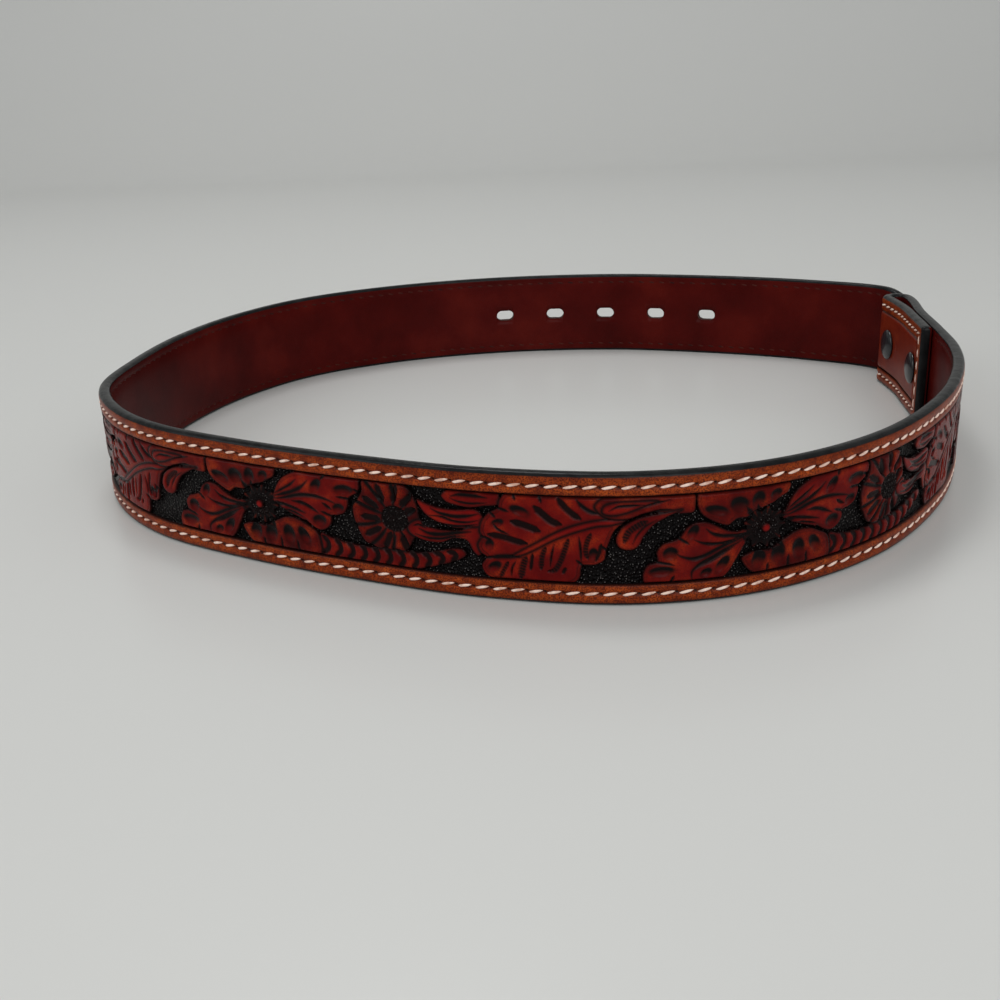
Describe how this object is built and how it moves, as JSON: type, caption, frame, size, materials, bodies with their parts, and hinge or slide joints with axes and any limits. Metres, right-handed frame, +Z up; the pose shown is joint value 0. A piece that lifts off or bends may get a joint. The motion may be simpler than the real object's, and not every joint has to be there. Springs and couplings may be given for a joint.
{
  "type": "western tooled belt",
  "caption": "Floral tooled leather belt with stitched edges, tongue holes and a snap-closed buckle loop, standing on its edge in a ring.",
  "frame": {"origin": "middle of the belt's box, on the surface that its lower edge stands on", "axes": "+Z up across the strap's width, +X towards the buckle loop, -Y towards the middle of the carved strap"},
  "size_m": [0.328, 0.3056, 0.0381],
  "materials": {
    "carved_leather": "red-brown floral tooling on a black matted ground, orange-brown border, satin",
    "lining_leather": "smooth dark red, glossy",
    "snap_metal": "black enamel, glossy",
    "stitch_thread": "off-white waxed thread",
    "edge_paint": "black burnished edge, glossy"
  },
  "bodies": {
    "root": {"carved_strap": "carved_leather", "lining_strap": "lining_leather", "snap_cap_1": "snap_metal", "snap_cap_2": "snap_metal", "snap_stud_1": "snap_metal", "snap_stud_2": "snap_metal"}
  },
  "joints": []
}
